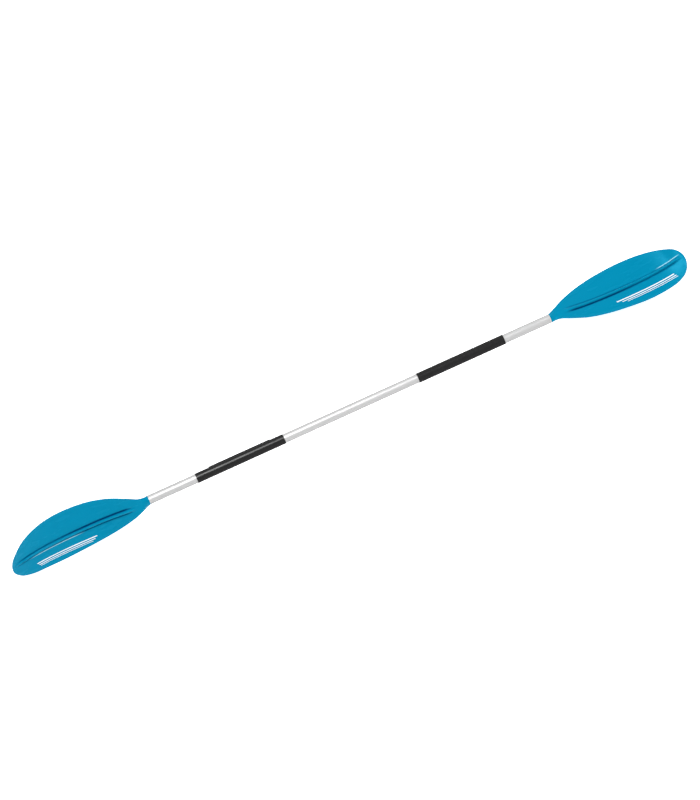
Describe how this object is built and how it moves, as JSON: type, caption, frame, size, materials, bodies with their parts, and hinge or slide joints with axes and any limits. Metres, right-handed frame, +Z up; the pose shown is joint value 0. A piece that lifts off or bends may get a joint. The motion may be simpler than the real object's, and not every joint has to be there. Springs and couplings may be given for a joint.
{
  "type": "kayak paddle",
  "caption": "Two-piece kayak paddle: aluminium shaft halves joined by a ferrule with a snap button, black grips and feathered blue spoon blades.",
  "frame": {"origin": "on the floor, under the joint between the two shaft halves; the paddle lies with its shaft level, on the lower edge of its left blade", "axes": "+X along the shaft from the left blade to the right blade, +Z up and out of the right blade's power face"},
  "size_m": [2.2, 0.156, 0.1381],
  "materials": {
    "tube_aluminium": "satin clear-anodised drawn tube",
    "grip_rubber": "smooth black sleeve, slight sheen",
    "blade_plastic": "semi-gloss moulded plastic, cyan blue",
    "rivet_aluminium": "plain blind rivets",
    "ferrule_plastic": "black moulded plastic",
    "index_plastic": "black extruded strip",
    "spring_steel": "stainless spring strip",
    "seal_rubber": "black O-ring",
    "float_foam": "closed-cell foam"
  },
  "bodies": {
    "right_half": {"right_shaft_tube": "tube_aluminium", "right_grip_sleeve": "grip_rubber", "right_blade": "blade_plastic", "right_blade_rivet_1": "rivet_aluminium", "right_blade_rivet_2": "rivet_aluminium", "right_float_plug": "float_foam", "ferrule_spigot": "ferrule_plastic", "spigot_rivet_1": "rivet_aluminium", "spigot_rivet_2": "rivet_aluminium", "spigot_end_plug": "ferrule_plastic", "snap_back_leaf": "spring_steel"},
    "ferrule_seal": {"ferrule_o_ring": "seal_rubber"},
    "left_half": {"left_shaft_tube": "tube_aluminium", "left_grip_sleeve": "grip_rubber", "left_index_strip": "index_plastic", "left_blade": "blade_plastic", "left_blade_rivet_1": "rivet_aluminium", "left_blade_rivet_2": "rivet_aluminium", "left_float_plug": "float_foam"},
    "snap_button": {"snap_button_leaf": "spring_steel"}
  },
  "joints": [
    {"name": "feather_twist", "type": "hinge", "parent": "right_half", "child": "ferrule_seal", "pos_m": [0, 0, 0.07099], "axis": [1, 0, 0], "range_deg": [-120, 0]},
    {"name": "pull_apart", "type": "slide", "parent": "ferrule_seal", "child": "left_half", "axis": [-1, 0, 0], "range_m": [0, 0.13]},
    {"name": "snap_press", "type": "hinge", "parent": "right_half", "child": "snap_button", "pos_m": [-0.0695, 0, 0.07099], "axis": [0, -0.866, 0.5], "range_deg": [0, 5], "stiffness_Nm_per_rad": 3, "deforming": ["snap_button_leaf"]}
  ]
}
